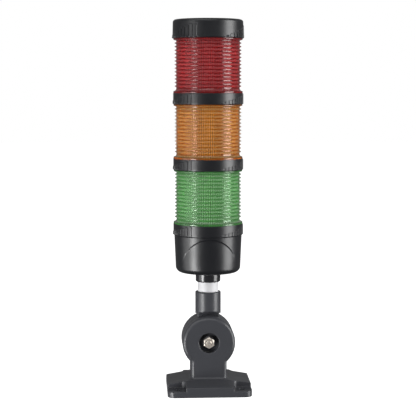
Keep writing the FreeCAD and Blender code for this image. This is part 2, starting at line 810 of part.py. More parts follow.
def lens(name, z):
    """Moulded lens: spigot in the ring, flared lip, lens ribs, and the next collar on top."""
    body = new_body(name)
    section = new_sketch(body, "lens_profile", "XZ_Plane")
    spigot = "(ring_bore - spigot_gap)"
    corners = [("lens_bore", WEB_TOP), (spigot, WEB_TOP), (spigot, "ring_height"),
               ("lip_radius", "ring_height"), ("lip_radius", "ring_height + lip_height"),
               ("flare_radius", "ring_height + lip_height + flare_height")]
    for index in range(CREST_COUNT):
        crest = "ring_height + first_crest + %d * crest_pitch" % index
        corners.append(("root_radius", "%s - crest_pitch / 2" % crest))
        corners.append(("crest_radius", crest))
    corners.append(("root_radius", "%s + crest_pitch / 2" % crest))
    corners.append(("top_flange_radius", "tier_pitch - top_flange_height"))
    corners.append(("top_flange_radius", "tier_pitch"))
    corners += collar_corners("tier_pitch")
    corners.append(("lens_bore", "tier_pitch + ledge_lift - ledge_depth - 2 * ledge_width"))
    outline(section, corners)
    revolve(body, "wall", section)
    collar_lugs(body, "tier_pitch")
    place(body, z=z)
    keep(body, name)


def diffuser(name, z):
    """Inner tube that spreads the light, from the ring's web to the deck."""
    tube = washer(name, "diffuser_radius - diffuser_wall", "diffuser_radius",
                  "tier_pitch + ledge_lift - %s" % WEB_TOP)
    place(tube, z="%s + %s" % (z, WEB_TOP))
    keep(tube, name)


def light_source(colour, z):
    """Square post with a circuit board on each side and a column of chips on each board."""
    height = "tier_pitch + ledge_lift - %s" % WEB_TOP
    block = part("Box", colour + "_post_block", Length="post_width", Width="post_width", Height=height)
    place(block, x="-post_width / 2", y="-post_width / 2")
    bore = part("Cylinder", colour + "_post_bore", Radius="post_bore / 2", Height=height)
    post = part_cut(colour + "_led_post", block, bore)
    place(post, z="%s + %s" % (z, WEB_TOP))
    keep(post, colour + "_led_post")

    boards, chips = [], []
    for side in range(4):
        board = part("Box", "%s_board_%d" % (colour, side), Length="board_thickness",
                     Width="board_width", Height="board_length")
        turn = "%d * 90" % side
        angle = "%d * 90 deg" % side
        place_on_side(board, "post_width / 2", "board_width", "board_lift", angle, turn)
        boards.append(board)
        for level in range(CHIP_ROWS):
            chip = part("Box", "%s_chip_%d_%d" % (colour, side, level), Length="chip_height",
                        Width="chip_size", Height="chip_size")
            rise = ("board_lift + board_length / 2 + %d * chip_pitch - chip_size / 2"
                    % (level - CHIP_ROWS // 2))
            place_on_side(chip, "(post_width / 2 + board_thickness)", "chip_size", rise, angle, turn)
            chips.append(chip)
    for name, members in (("_led_boards", boards), ("_leds", chips)):
        item = group(colour + name, members)
        place(item, z="%s + %s" % (z, WEB_TOP))
        keep(item, colour + name)


def place_on_side(box, out, width, rise, angle, turn):
    """Stand a box on one side of the post: its back face at distance out, centred on the side."""
    place(box, x="%s * cos(%s) + %s / 2 * sin(%s)" % (out, angle, width, angle),
          y="%s * sin(%s) - %s / 2 * cos(%s)" % (out, angle, width, angle), z=rise, turn=turn)


def contacts(name, z):
    """Sprung contact pins under a ring's web, their tips on the deck below."""
    members = []
    for step in range(CONTACT_COUNT):
        pin = part("Cylinder", "%s_%d" % (name, step), Radius="contact_size / 2",
                   Height="%s - %s" % (WEB_BOTTOM, DECK_TOP))
        angle = "%d * 360 deg / %d" % (step, CONTACT_COUNT)
        place(pin, x="contact_circle / 2 * cos(%s)" % angle, y="contact_circle / 2 * sin(%s)" % angle)
        members.append(pin)
    pins = group(name, members)
    place(pins, z="%s + %s" % (z, DECK_TOP))
    keep(pins, name)


def tier(colour, level):
    """One complete light tier, counted from the housing up."""
    z = "(%s + %d * tier_pitch)" % (HOUSING_TOP, level)
    lock_ring(colour + "_lock_ring", z)
    seal(colour + "_seal", z)
    contacts(colour + "_contacts", z)
    lens(colour + "_lens", z)
    diffuser(colour + "_diffuser", z)
    light_source(colour, z)
    deck(colour + "_deck", "(%s + tier_pitch)" % z)


def cap():
    """Flat cap: drafted, rounded at the top, hooks and a hollow inside, grip ribs outside."""
    z = "(%s + 3 * tier_pitch)" % HOUSING_TOP
    body = new_body("cap")
    section = new_sketch(body, "cap_profile", "XZ_Plane")
    outline(section, [("0", "cap_height - cap_roof"), ("cap_hollow", "cap_height - cap_roof"),
                      ("cap_hollow", WEB_BOTTOM), ("ring_bore", WEB_BOTTOM), ("ring_bore", "0"),
                      ("cap_bottom_radius - ring_chamfer", "0"), ("cap_bottom_radius", "ring_chamfer"),
                      ("cap_top_radius", "cap_height"), ("0", "cap_height")])
    revolve(body, "shell", section)

    def cap_rim(edge):
        return at_level(edge, "cap_height") and near(edge.BoundBox.XMax, "cap_top_radius")

    fillet(body, "cap_rim", "cap_round", cap_rim)
    grip_fields(body, "(cap_bottom_radius - grip_relief / 2)", "cap_grip_start", "cap_grip_step")
    ring_hooks(body)
    place(body, z=z)
    keep(body, "cap")
    seal("cap_seal", z)


def check_and_export():
    """Stop on any failed object or bad solid, then write one STEP file for each sub-part."""
    doc.recompute()
    for item in doc.Objects:
        if "Invalid" in item.State or "Error" in item.State:
            raise RuntimeError("%s failed" % item.Name)
    for item in node_parts:
        if item.Shape.isNull() or not item.Shape.isValid():
            raise RuntimeError("%s has no valid solid" % item.Label)
    os.makedirs("parts", exist_ok=True)
    for item in node_parts:
        item.Shape.exportStep("parts/%s.step" % item.Label)


base_bracket()
swivel_arm()
pivot_fasteners()
pole()
pole_screws()
pole_socket()
socket_screws()
base_housing()
terminals()
deck("housing_deck", HOUSING_TOP)
for level, colour in enumerate(("green", "amber", "red")):
    tier(colour, level)
cap()
check_and_export()
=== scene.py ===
"""Dresses the three-tier signal tower: turned and moulded skins, their finishes, a studio and a camera.

Lengths are in metres unless a name ends in _mm. Front is -Y, up is +Z, and the tower's axis is Z.
"""

import json
import math

import bpy
import numpy as np
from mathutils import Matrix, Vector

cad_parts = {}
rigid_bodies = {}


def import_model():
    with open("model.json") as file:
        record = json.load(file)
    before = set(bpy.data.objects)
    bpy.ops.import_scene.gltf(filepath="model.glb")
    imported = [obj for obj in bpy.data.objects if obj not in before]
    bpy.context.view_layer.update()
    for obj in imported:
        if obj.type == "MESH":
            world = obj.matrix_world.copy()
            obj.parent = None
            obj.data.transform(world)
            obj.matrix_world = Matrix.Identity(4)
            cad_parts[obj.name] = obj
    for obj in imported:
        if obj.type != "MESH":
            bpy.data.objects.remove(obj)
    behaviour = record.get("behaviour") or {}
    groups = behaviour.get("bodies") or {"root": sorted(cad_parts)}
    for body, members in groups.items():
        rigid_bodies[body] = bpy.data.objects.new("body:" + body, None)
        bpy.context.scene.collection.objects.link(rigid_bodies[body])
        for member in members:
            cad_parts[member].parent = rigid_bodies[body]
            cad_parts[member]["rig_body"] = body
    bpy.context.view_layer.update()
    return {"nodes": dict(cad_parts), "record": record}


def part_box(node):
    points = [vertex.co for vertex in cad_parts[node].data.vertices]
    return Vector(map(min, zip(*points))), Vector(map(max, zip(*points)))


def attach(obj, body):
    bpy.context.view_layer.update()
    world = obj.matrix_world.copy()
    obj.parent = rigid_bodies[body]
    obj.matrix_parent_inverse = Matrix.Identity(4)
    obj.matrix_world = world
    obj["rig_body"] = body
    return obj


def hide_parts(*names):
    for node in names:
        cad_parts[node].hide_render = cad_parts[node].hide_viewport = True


MM = 0.001
COLOURS = ("green", "amber", "red")

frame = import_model()
nodes = frame["nodes"]


# Places read from the frame

def low_z(node):
    """Height of a node's underside."""
    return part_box(node)[0].z


def high_z(node):
    """Height of a node's top."""
    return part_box(node)[1].z


def wide_radius(node):
    """Largest radius of a node that is centred on the tower's axis."""
    low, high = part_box(node)
    return (high.x - low.x) / 2


PIVOT_Z = (low_z("friction_washers") + high_z("friction_washers")) / 2
TIER_PITCH = low_z("amber_lock_ring") - low_z("green_lock_ring")


# Curves and grids

def soft_path(corners, radius, steps=5):
    """Open path through corners in (radius, height), each inner corner rounded by an arc.

    At a corner with unit directions u and v to its neighbours and half-angle h between them, the arc's
    centre lies at radius / sin(h) along the bisector, and its ends at radius / tan(h) along u and v.
    """
    points = np.array(corners, float) * MM
    radius = np.broadcast_to(np.asarray(radius, float) * MM, len(points) - 2)[:, None]
    here = points[1:-1]
    u = points[:-2] - here
    v = points[2:] - here
    u /= np.linalg.norm(u, axis=1, keepdims=True)
    v /= np.linalg.norm(v, axis=1, keepdims=True)
    half = np.arccos(np.clip((u * v).sum(1), -1, 1))[:, None] / 2
    middle = u + v
    middle /= np.linalg.norm(middle, axis=1, keepdims=True)
    centre = here + middle * radius / np.sin(half)
    start = here + u * radius / np.tan(half) - centre
    end = here + v * radius / np.tan(half) - centre
    sweep = math.pi - 2 * half
    share = np.linspace(0, 1, steps)[None, :, None]
    turn = sweep[:, None, :]
    arcs = (centre[:, None] + (np.sin((1 - share) * turn) * start[:, None]
                               + np.sin(share * turn) * end[:, None]) / np.sin(turn))
    return np.vstack([points[:1], arcs.reshape(-1, 2), points[-1:]])


def ramp(x):
    """Smooth rise from 0 to 1: 3 x^2 - 2 x^3 of x held between 0 and 1."""
    x = np.clip(x, 0, 1)
    return x * x * (3 - 2 * x)


def grid_faces(rows, columns, closed_rows):
    """Quads of a grid whose columns wrap round, and whose rows do too if closed_rows."""
    last = rows if closed_rows else rows - 1
    row, column = np.meshgrid(np.arange(last), np.arange(columns), indexing="ij")
    beside = (column + 1) % columns
    above = (row + 1) % rows
    return np.stack([row * columns + column, row * columns + beside,
                     above * columns + beside, above * columns + column], -1).reshape(-1, 4)


def six_times_volume(points, faces):
    """Six times the volume inside a closed mesh, positive when its faces point outwards."""
    a, b, c, d = (points[faces[:, corner]] for corner in range(4))
    return float((np.cross(b - a, c - a) * a).sum() + (np.cross(c - a, d - a) * a).sum())


def add_piece(name, points, faces, node, sharp_angle=40):
    """New piece that stands for a CAD node, on its body and with its finish. faces hold four corners,
    and one that names its first corner twice is a triangle."""
    if six_times_volume(points, faces) < 0:
        faces = faces[:, ::-1]
    mesh = bpy.data.meshes.new(name)
    tri = faces[:, 0] == faces[:, 3]
    mesh.from_pydata(points, [], faces[~tri].tolist() + faces[tri][:, :3].tolist())
    mesh.polygons.foreach_set("use_smooth", np.ones(len(mesh.polygons), bool))
    mesh.set_sharp_from_angle(angle=math.radians(sharp_angle))
    piece = bpy.data.objects.new(name, mesh)
    bpy.context.scene.collection.objects.link(piece)
    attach(piece, nodes[node]["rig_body"])
    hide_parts(node)
    piece.data.materials.append(finish(SLOTS[node]))
    return piece


def turned(name, profile, node, angles, base=0.0, swell=None):
    """Closed solid of revolution about Z: point (r, z) of the profile at angle t, counted from the front
    towards +X, goes to (r sin t, -r cos t, base + z), with swell(t, r, z) added to r."""
    radius, height = profile[:, :1], profile[:, 1:]
    turn = angles[None, :]
    if swell is not None:
        radius = radius + swell(turn, radius, height)
    x = radius * np.sin(turn)
    y = -radius * np.cos(turn)
    z = np.broadcast_to(height + base, x.shape)
    points = np.stack([x, y, z], -1).reshape(-1, 3)
    return add_piece(name, points, grid_faces(len(profile), len(angles), True), node)


def even_angles(count):
    """Angles of so many columns, evenly spaced all round."""
    return np.arange(count) * (2 * math.pi / count)


# Nodes and finishes

# The lens: bottom of its valleys, top of its ribs, and its smooth rims; the lens shader also places its
# painted rib highlight and valley shade by these radii
ROOT_R_MM = 31.9
CREST_R_MM = 33.6
RIM_R_MM = 34.3
# Painted streaks on the lens that stand for the tube's flutes: their count round the axis, and how dark their
# painted shade goes
FLUTE_COUNT = 90
PAINTED_FLUTE_SHADE = 0.4
DRIFT_MM = 9
CLOUD_MM = 12
FLOW_MM = 6
WHITE = "#ffffff"


def linear(code):
    """sRGB hex colour as linear red, green, blue and alpha."""
    shares = np.array([int(code[place:place + 2], 16) for place in (1, 3, 5)]) / 255
    low = shares / 12.92
    high = ((shares + 0.055) / 1.055) ** 2.4
    return (*np.where(shares <= 0.04045, low, high).tolist(), 1.0)


def add(tree, kind, settings=None, sockets=None):
    """Node of a kind with its settings, each socket given a value or a link from an output socket."""
    node = tree.nodes.new("ShaderNode" + kind)
    for name, value in (settings or {}).items():
        setattr(node, name, value)
    for name, value in (sockets or {}).items():
        if isinstance(value, bpy.types.NodeSocket):
            tree.links.new(value, node.inputs[name])
        else:
            node.inputs[name].default_value = value
    return node


def new_material(name):
    """Empty material with its output node."""
    material = bpy.data.materials.new(name)
    material.use_nodes = True
    tree = material.node_tree
    tree.nodes.clear()
    return material, tree, add(tree, "OutputMaterial")


def moulded(name, colour, roughness, grain_mm, relief_mm, mottle=0.06, edge_mm=0.0, ior=1.5):
    """Moulded plastic: spark-eroded grain as bump, a slight drift of roughness and shade over the surface,
    and optionally a rounded look on edges that the mould leaves soft."""
    material, tree, out = new_material(name)
    place = add(tree, "TexCoord").outputs["Object"]
    grain = add(tree, "TexNoise", None,
                {"Vector": place, "Scale": 1 / (grain_mm * MM), "Detail": 3.0, "Roughness": 0.6})
    drift = add(tree, "TexNoise", None, {"Vector": place, "Scale": 1 / (DRIFT_MM * MM), "Detail": 2.0})
    sockets = {"Height": grain.outputs["Fac"], "Strength": 0.6, "Distance": relief_mm * MM}
    if edge_mm:
        sockets["Normal"] = add(tree, "Bevel", {"samples": 6}, {"Radius": edge_mm * MM}).outputs["Normal"]
    bump = add(tree, "Bump", None, sockets)
    rough = add(tree, "MapRange", None,
                {"Value": drift.outputs["Fac"], "From Min": 0.3, "From Max": 0.7,
                 "To Min": roughness * (1 - mottle), "To Max": roughness * (1 + mottle)})
    base = linear(colour)
    lighter = tuple(min(1.0, share * (1 + 2 * mottle)) for share in base[:3]) + (1.0,)
    shade = add(tree, "Mix", {"data_type": "RGBA"},
                {"Factor": grain.outputs["Fac"], "A": base, "B": lighter})
    shader = add(tree, "BsdfPrincipled", None,
                 {"Base Color": shade.outputs["Result"], "Roughness": rough.outputs["Result"],
                  "Normal": bump.outputs["Normal"], "IOR": ior})
    tree.links.new(shader.outputs["BSDF"], out.inputs["Surface"])
    return material


def metal(name, colour, roughness, grain_mm, relief_mm, stretch=(1, 1, 1), metallic=1.0):
    """Metal with the fine marks of how it was made, drawn along the axis that stretch flattens."""
    material, tree, out = new_material(name)
    place = add(tree, "TexCoord").outputs["Object"]
    along = add(tree, "Mapping", None, {"Vector": place, "Scale": stretch})
    marks = add(tree, "TexNoise", None,
                {"Vector": along.outputs["Vector"], "Scale": 1 / (grain_mm * MM), "Detail": 3.0})
    bump = add(tree, "Bump", None,
               {"Height": marks.outputs["Fac"], "Strength": 0.5, "Distance": relief_mm * MM})
    rough = add(tree, "MapRange", None,
                {"Value": marks.outputs["Fac"], "To Min": roughness * 0.8, "To Max": roughness * 1.2})
    shader = add(tree, "BsdfPrincipled", None,
                 {"Base Color": linear(colour), "Metallic": metallic, "Roughness": rough.outputs["Result"],
                  "Normal": bump.outputs["Normal"]})
    tree.links.new(shader.outputs["BSDF"], out.inputs["Surface"])
    return material


def clear_lens(name, valley_shade, crest, tint, density):
    """Dyed clear polycarbonate over a fluted tube. Light is tinted by how far it travels in the wall, and a
    share of it scatters. The base colour carries a painted highlight on the ribs and painted shade in the
    valleys and on the
    smooth rims: rib = rise from the root halfway to the crest, times fall from the crest to the rim, mixes
    the shade colour towards the crest's lighter colour. The tube's flutes are painted on the lens as fine
    upright streaks of
    painted shade: sine of the turn about the axis, times their count. The surface is polished, with faint
    flow marks."""
    material, tree, out = new_material(name)
    place = add(tree, "TexCoord").outputs["Object"]
    parts = add(tree, "SeparateXYZ", None, {"Vector": place})
    # fine upright streaks of painted shade, standing for the tube's flutes seen through the lens
    turn = add(tree, "Math", {"operation": "ARCTAN2"}, {0: parts.outputs["X"], 1: parts.outputs["Y"]})
    phase = add(tree, "Math", {"operation": "MULTIPLY"},
                {0: turn.outputs["Value"], 1: float(FLUTE_COUNT)})
    wave = add(tree, "Math", {"operation": "SINE"}, {0: phase.outputs["Value"]})
    line = add(tree, "MapRange", None,
               {"Value": wave.outputs["Value"], "From Min": -1.0, "From Max": 1.0,
                "To Min": PAINTED_FLUTE_SHADE, "To Max": 1.0})
    flat = add(tree, "CombineXYZ", None, {"X": parts.outputs["X"], "Y": parts.outputs["Y"]})
    radius = add(tree, "VectorMath", {"operation": "LENGTH"}, {"Vector": flat.outputs["Vector"]})
    # mask from the radius for the painted highlight on the ribs and the painted shade in the valleys and on
    # the rims
    rise = add(tree, "MapRange", None,
               {"Value": radius.outputs["Value"], "From Min": ROOT_R_MM * MM,
                "From Max": (ROOT_R_MM + CREST_R_MM) / 2 * MM})
    rim = add(tree, "MapRange", None,
              {"Value": radius.outputs["Value"], "From Min": CREST_R_MM * MM, "From Max": RIM_R_MM * MM,
               "To Min": 1.0, "To Max": 0.0})
    rib = add(tree, "Math", {"operation": "MULTIPLY"},
              {0: rise.outputs["Result"], 1: rim.outputs["Result"]})
    # base colour from the painted shade colour of the valleys to the painted highlight colour of the crests
    rib_highlight_and_shade = add(tree, "Mix", {"data_type": "RGBA"},
              {"Factor": rib.outputs["Value"], "A": linear(valley_shade), "B": linear(crest)})
    # base colour darkened by the painted flute streaks
    body = add(tree, "VectorMath", {"operation": "SCALE"},
               {"Vector": rib_highlight_and_shade.outputs["Result"], "Scale": line.outputs["Result"]})
    flow = add(tree, "TexNoise", None, {"Vector": place, "Scale": 1 / (FLOW_MM * MM), "Detail": 2.0})
    bump = add(tree, "Bump", None,
               {"Height": flow.outputs["Fac"], "Strength": 0.3, "Distance": 0.012 * MM})
    rough = add(tree, "MapRange", None, {"Value": flow.outputs["Fac"], "To Min": 0.17, "To Max": 0.23})
    shader = add(tree, "BsdfPrincipled", None,
                 {"Base Color": body.outputs["Vector"], "Transmission Weight": 0.7, "IOR": 1.58,
                  "Roughness": rough.outputs["Result"], "Normal": bump.outputs["Normal"]})
    inside = add(tree, "VolumeAbsorption", None, {"Color": linear(tint), "Density": density})
    tree.links.new(shader.outputs["BSDF"], out.inputs["Surface"])
    tree.links.new(inside.outputs["Volume"], out.inputs["Volume"])
    return material


def frosted(name, colour):
    """Natural clear acrylic of the inner tube: cloudy, and the light source shows through it."""
    material, tree, out = new_material(name)
    place = add(tree, "TexCoord").outputs["Object"]
    cloud = add(tree, "TexNoise", None, {"Vector": place, "Scale": 1 / (CLOUD_MM * MM), "Detail": 2.0})
    rough = add(tree, "MapRange", None, {"Value": cloud.outputs["Fac"], "To Min": 0.04, "To Max": 0.1})
    shader = add(tree, "BsdfPrincipled", None,
                 {"Base Color": linear(colour), "Roughness": rough.outputs["Result"], "IOR": 1.49,
                  "Transmission Weight": 0.95})
    tree.links.new(shader.outputs["BSDF"], out.inputs["Surface"])
    return material


FINISHES = {
    # glass-filled nylon out of a spark-eroded mould: dull, with a fine sparkle and soft bright edges. The
    # grain is drawn coarser than the real one, so that it shows
    "bracket_nylon": lambda: moulded("glass_filled_nylon", "#3d3e42", 0.34, 0.55, 0.04, mottle=0.12,
                                     edge_mm=1.8),
    # cold-headed stainless steel, tumbled: bright facets, a little warm
    "stainless": lambda: metal("stainless_steel", "#ece2d6", 0.34, 0.5, 0.01, metallic=0.7),
    # punched washer with a thin black oxide skin: dull dark grey
    "black_washer": lambda: metal("black_oxide_steel", "#7a7a7e", 0.5, 0.3, 0.01, metallic=0.5),
    # pressed fibre liner: takes all the light, so the joint's gaps look dark
    "fibre": lambda: moulded("fibre_liner", "#121110", 0.8, 0.4, 0.03),
    # drawn tube, satin anodised: very light and even, its marks along the tube
    "pole_aluminium": lambda: metal("satin_anodised_aluminium", "#e4e4e6", 0.7, 0.6, 0.004,
                                    stretch=(1, 1, 0.04), metallic=0.35),
    # hardened and oiled grub screws: dark, half glossy
    "black_steel": lambda: metal("black_steel", "#303032", 0.4, 0.3, 0.01),
    # ABS from a polished mould: narrow, crisp highlights
    "neck_plastic": lambda: moulded("gloss_black_abs", "#2c2c2f", 0.2, 1.2, 0.004, ior=1.55),
    # zinc-plated screws: light, slightly blue
    "zinc_steel": lambda: metal("zinc_plated_steel", "#b9bcc2", 0.35, 0.4, 0.01),
    # polycarbonate from a satin mould: broad soft highlights
    "black_plastic": lambda: moulded("satin_black_polycarbonate", "#1b1c1f", 0.34, 0.5, 0.006, ior=1.58),
    # moulded terminal block: plain and dull
    "terminal_plastic": lambda: moulded("green_polyamide", "#3f5a46", 0.5, 0.5, 0.01),
    # white ABS of the decks and posts: spreads the light inside the tiers
    "deck_plastic": lambda: moulded("white_abs", "#e2e2dd", 0.5, 0.6, 0.01),
    # moulded seal: black, without gloss
    "seal_rubber": lambda: moulded("black_nitrile_rubber", "#1c1c1c", 0.7, 0.4, 0.02),
    # turned and plated contact pins: bright yellow metal
    "contact_brass": lambda: metal("plated_brass", "#d9b06a", 0.3, 0.3, 0.005),
    # extruded acrylic tube: nearly clear, softens what lies behind it
    "diffuser": lambda: frosted("natural_acrylic", "#e9e9e4"),
    # solder mask over the circuit board: smooth and white
    "board": lambda: moulded("white_solder_mask", "#f4f5f2", 0.35, 0.8, 0.004),
    # silicone over the light chip: glossy, pale yellow
    "led_chip": lambda: moulded("clear_encapsulant", "#e5dcae", 0.2, 0.8, 0.002),
    # dyed polycarbonate, moulded clear and glossy: painted shade of the valleys, painted highlight of the
    # ribs, then tint and density of the absorbing colour in the wall
    "green_lens": lambda: clear_lens("green_polycarbonate", "#70bc6c", "#d8f8d2", "#8fe08a", 190),
    "amber_lens": lambda: clear_lens("amber_polycarbonate", "#d88628", "#ffdf9c", "#f6cf2a", 190),
    "red_lens": lambda: clear_lens("red_polycarbonate", "#a62428", "#ec8286", "#f0302c", 250),
}
SLOTS = {row["node"]: row["material_slot"] for row in frame["record"]["subparts"]}
made = {}


def finish(slot):
    """Material of a slot, made once."""
    if slot not in made:
        made[slot] = FINISHES[slot]()
    return made[slot]


def dress_cad_nodes():
    """Gives each carried-over node its slot's finish."""
    for name, node in nodes.items():
        node.data.materials.clear()
        node.data.materials.append(finish(SLOTS[name]))


# Lock rings and cap

GRIP_COUNT = 10
GRIP_FIELDS = 3
GRIP_PITCH = math.radians(7.4)
GRIP_WIDTH = 2.8 * MM
GRIP_RELIEF = 0.55 * MM
GRIP_FOOT = 0.9 * MM
GRIP_FADE = 0.3 * MM
FIRST_GRIP_MM = 1.6


def grip_angles(start, per_grip=20, between=16):
    """Column angles round a ring: close together over the three grip fields, wide apart between them."""
    field = (np.arange(GRIP_COUNT * per_grip) / per_grip - 0.5) * GRIP_PITCH
    rest = 2 * math.pi / GRIP_FIELDS - GRIP_COUNT * GRIP_PITCH
    gap = (GRIP_COUNT - 0.5) * GRIP_PITCH + np.arange(between) / between * rest
    third = np.concatenate([field, gap]) + start
    return np.concatenate([third + turn * 2 * math.pi / GRIP_FIELDS for turn in range(GRIP_FIELDS)])


def grips(start, step_mm, above_radius):
    """Swell of the grip ribs. A rib is a bar with soft sides and ends, and each is taller than the one
    before: bar = ramp across the width, times ramp from the foot to the rib's own height."""
    def swell(turn, radius, height):
        along = np.mod(turn - start + GRIP_PITCH / 2, 2 * math.pi / GRIP_FIELDS)
        index = np.floor(along / GRIP_PITCH)
        off = np.abs(along - (index + 0.5) * GRIP_PITCH) * radius
        across = ramp((GRIP_WIDTH / 2 + GRIP_FADE / 2 - off) / GRIP_FADE)
        top = GRIP_FOOT + (FIRST_GRIP_MM + index * step_mm) * MM
        tall = ramp((top - height) / GRIP_FADE) * ramp((height - GRIP_FOOT + GRIP_FADE) / GRIP_FADE)
        outside = radius > above_radius
        return GRIP_RELIEF * across * tall * (index < GRIP_COUNT) * outside
    return swell


def wall_rows(low_mm, high_mm, low_r_mm, high_r_mm, step_mm=0.3):
    """Straight stretch of an outer wall as closely set points."""
    count = int((high_mm - low_mm) / step_mm)
    return np.stack([np.linspace(low_r_mm, high_r_mm, count + 1),
                     np.linspace(low_mm, high_mm, count + 1)], -1) * MM


BORE_MM = 33.2
WALL_FOOT_MM = 2.6


def gripped_foot(radius_mm):
    """Rounded lower edge of a ring or the cap, from inside its bore to the foot of its wall."""
    return soft_path([(BORE_MM, 3), (BORE_MM, 0), (radius_mm, 0), (radius_mm, WALL_FOOT_MM - 0.2)],
                     [0.3, 1.0], 7)


RING_R_MM = 35.1
RING_HIGH_MM = 11.6
RING_START = math.radians(20)
RING_STEP_MM = 0.95
WEB_MM = (6.0, 8.0)
WEB_HOLE_R_MM = 6.0


def lock_ring(colour):
    """Ring under a lens: rounded lower edge, grips outside, a web inside."""
    node = colour + "_lock_ring"
    wall = wall_rows(WALL_FOOT_MM, RING_HIGH_MM - 0.5, RING_R_MM, RING_R_MM)
    shoulder = soft_path([(RING_R_MM, RING_HIGH_MM - 0.4), (RING_R_MM, RING_HIGH_MM),
                          (BORE_MM, RING_HIGH_MM), (BORE_MM, WEB_MM[1]), (WEB_HOLE_R_MM, WEB_MM[1]),
                          (WEB_HOLE_R_MM, WEB_MM[0]), (BORE_MM, WEB_MM[0]), (BORE_MM, 3.2)],
                         [0.25, 0.2, 0.2, 0.2, 0.2, 0.2])
    swell = grips(RING_START, RING_STEP_MM, (RING_R_MM - 0.6) * MM)
    turned(colour + "_ring_skin", np.vstack([gripped_foot(RING_R_MM), wall, shoulder]), node,
           grip_angles(RING_START), low_z(node), swell)


CAP_R_MM = (35.7, 35.35)
CAP_HIGH_MM = 19.0
CAP_ROOM_MM = (28.0, 16.5)
CAP_SEAT_MM = 6.0
CAP_PINHOLE_R_MM = 0.6
CAP_START = math.radians(30)
CAP_STEP_MM = 1.38


def cap():
    """Cap: slightly drafted wall with grips, well-rounded top edge, hollow inside, a pinhole on the axis."""
    low_r, high_r = CAP_R_MM
    room_r, room_top = CAP_ROOM_MM
    wall = wall_rows(WALL_FOOT_MM, CAP_HIGH_MM - 3.2, low_r - 0.05, high_r)
    crown = soft_path([(high_r, CAP_HIGH_MM - 3.1), (high_r, CAP_HIGH_MM), (CAP_PINHOLE_R_MM, CAP_HIGH_MM),
                       (CAP_PINHOLE_R_MM, room_top), (room_r, room_top), (room_r, CAP_SEAT_MM),
                       (BORE_MM, CAP_SEAT_MM), (BORE_MM, 3.2)], [2.9, 0.2, 0.2, 0.8, 0.3, 0.3], 9)
    swell = grips(CAP_START, CAP_STEP_MM, (high_r - 0.8) * MM)
    turned("cap_skin", np.vstack([gripped_foot(low_r), wall, crown]), "cap", grip_angles(CAP_START),
           low_z("cap"), swell)


# The collar that a housing or a lens carries for the tier above

COLLAR_R_MM = (29.0, 31.0)
COLLAR_TALL_MM = 5.0
LEDGE_R_MM = 27.6
LEDGE_MM = (-0.4, 1.1)
SLOPE_MM = -3.2
COLLAR_ROUNDING_MM = [0.2, 0.3, 0.3, 0.2, 0.2, 0.2, 0.4]


def collar(level, wall_r_mm):
    """Corners of the collar on a level: outside, top, bore, ledge, and the slope down to the inner wall."""
    bore, outside = COLLAR_R_MM
    return [(outside, level), (outside, level + COLLAR_TALL_MM), (bore, level + COLLAR_TALL_MM),
            (bore, level + LEDGE_MM[1]), (LEDGE_R_MM, level + LEDGE_MM[1]), (LEDGE_R_MM, level + LEDGE_MM[0]),
            (wall_r_mm, level + SLOPE_MM)]


# Lenses and what shows through them

CREST_COUNT = 13
CREST_PITCH_MM = 3.58
FIRST_CREST_MM = 18.5
CREST_POWER = 2.2
LENS_BORE_MM = 29.4
SPIGOT_R_MM = 33.1
SPIGOT_FOOT_MM = 8.0
LIP_R_MM = 34.9
LIP_TALL_MM = 1.7
TAPER_R_MM = 34.4
FLANGE_R_MM = 34.6
FLANGE_TALL_MM = 1.0


def lens_ribs(steps=18):
    """Outer wall of the lens, narrow ribs between wide valleys: r = root + relief (1/2 + 1/2 cos)^power."""
    turn = np.linspace(-math.pi, (2 * CREST_COUNT - 1) * math.pi, CREST_COUNT * steps + 1)
    height = FIRST_CREST_MM + turn / (2 * math.pi) * CREST_PITCH_MM
    radius = ROOT_R_MM + (CREST_R_MM - ROOT_R_MM) * (0.5 + 0.5 * np.cos(turn)) ** CREST_POWER
    return np.stack([radius, height], -1) * MM


def hollow_curve(low, high, steps=7):
    """Quarter-ellipse that leaves its wide end level and meets its narrow end upright, in mm."""
    turn = np.linspace(0, math.pi / 2, steps)
    wide, narrow = (low, high) if low[0] > high[0] else (high, low)
    radius = narrow[0] + (wide[0] - narrow[0]) * (1 - np.sin(turn))
    height = narrow[1] + (wide[1] - narrow[1]) * np.cos(turn)
    points = np.stack([radius, height], -1) * MM
    return points if wide is low else points[::-1]


def lens(colour):
    """Lens: spigot in the ring, flared lip, thirteen ribs, top flange and the collar inside the next ring."""
    node = colour + "_lens"
    top = TIER_PITCH / MM
    seat = RING_HIGH_MM + 0.02
    lip_top = RING_HIGH_MM + LIP_TALL_MM
    ribs = lens_ribs()
    low_root, high_root = ribs[0] / MM, ribs[-1] / MM
    flare_foot = (RIM_R_MM, lip_top + 0.35)
    taper_top = (TAPER_R_MM, top - FLANGE_TALL_MM - 0.25)
    foot = soft_path([(LENS_BORE_MM, SPIGOT_FOOT_MM + 1), (LENS_BORE_MM, SPIGOT_FOOT_MM),
                      (SPIGOT_R_MM, SPIGOT_FOOT_MM), (SPIGOT_R_MM, seat), (LIP_R_MM, seat),
                      (LIP_R_MM, lip_top), flare_foot], [0.2, 0.3, 0.1, 0.35, 0.5])
    flare = hollow_curve(flare_foot, tuple(low_root), 8)
    taper = hollow_curve(tuple(high_root), taper_top, 8)
    head = soft_path([taper_top, (FLANGE_R_MM, top - FLANGE_TALL_MM), (FLANGE_R_MM, top),
                      *collar(top, LENS_BORE_MM), (LENS_BORE_MM, SPIGOT_FOOT_MM + 1.2)],
                     [0.2, 0.25, *COLLAR_ROUNDING_MM])
    profile = np.vstack([foot[:-1], flare[:-1], ribs, taper[1:-1], head])
    piece = turned(colour + "_lens_skin", profile, node, even_angles(160), low_z(colour + "_lock_ring"))
    piece.visible_shadow = False


TUBE_WALL_MM = 1.6


